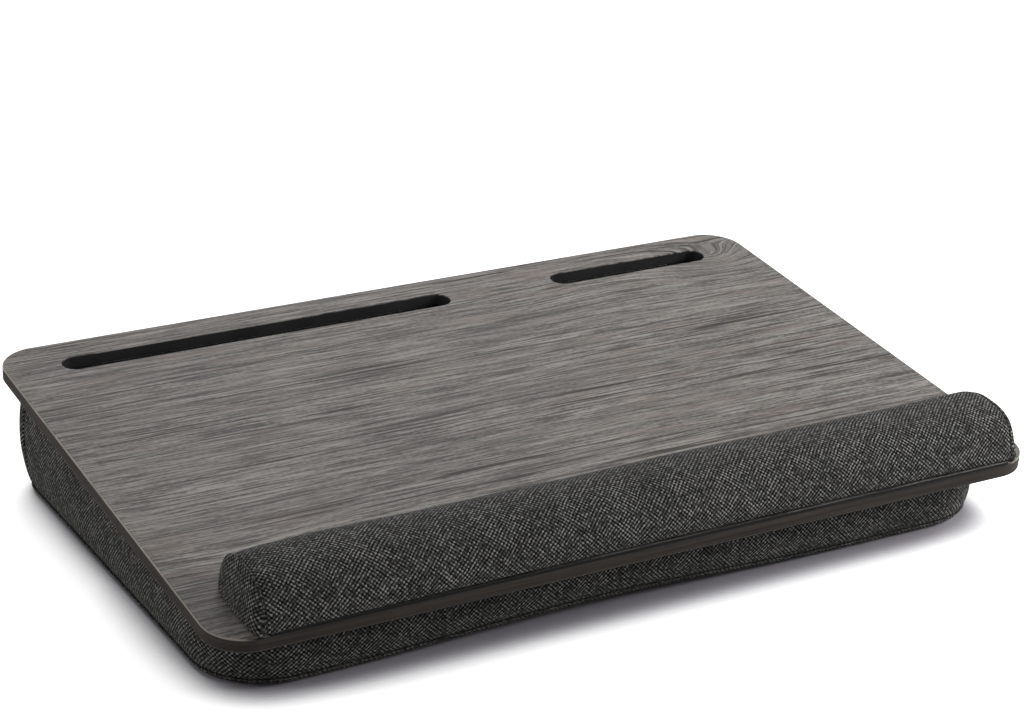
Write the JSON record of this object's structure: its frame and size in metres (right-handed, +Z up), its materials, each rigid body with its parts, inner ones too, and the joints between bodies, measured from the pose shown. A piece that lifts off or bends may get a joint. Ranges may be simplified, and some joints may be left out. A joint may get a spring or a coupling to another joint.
{
  "type": "cushioned lap desk",
  "caption": "Lap desk for a laptop: a woodgrain board with a tablet slot, a phone slot and a fabric wrist rest, on a wedge cushion arched to sit over the lap.",
  "frame": {"origin": "middle of the bounding box in X and Y, at the height of the two flat stretches that the cushion rests on", "axes": "+X to the user's right, +Y away from the user to the back edge, +Z up; the board rises to the back by six degrees"},
  "size_m": [0.56, 0.3788, 0.0877],
  "materials": {
    "fibreboard": "matte",
    "woodgrain_laminate": "matte",
    "backing_foil": "matte",
    "edge_band": "satin",
    "slot_lining": "matte",
    "cover_fabric": "matte",
    "bottom_fabric": "matte",
    "liner_fabric": "matte",
    "foam": "matte",
    "stiffener": "matte",
    "mounting_tape": "matte"
  },
  "bodies": {
    "root": {"board_core": "fibreboard", "top_laminate": "woodgrain_laminate", "backing_foil": "backing_foil", "edge_band": "edge_band", "tablet_slot_lining": "slot_lining", "phone_slot_lining": "slot_lining", "wrist_rest_base": "stiffener", "wrist_rest_foam": "foam", "wrist_rest_cover": "cover_fabric", "wrist_rest_left_end": "cover_fabric", "wrist_rest_right_end": "cover_fabric", "wrist_rest_front_tape": "mounting_tape", "wrist_rest_back_tape": "mounting_tape", "cushion_front_tape": "mounting_tape", "cushion_back_tape": "mounting_tape", "cushion_left_tape": "mounting_tape", "cushion_right_tape": "mounting_tape", "cushion_top_liner": "liner_fabric", "front_boxing": "cover_fabric", "back_boxing": "cover_fabric", "bottom_panel": "bottom_fabric", "wedge_foam": "foam", "centre_pad_foam": "foam", "left_bolster_foam": "foam", "right_bolster_foam": "foam"}
  },
  "joints": []
}
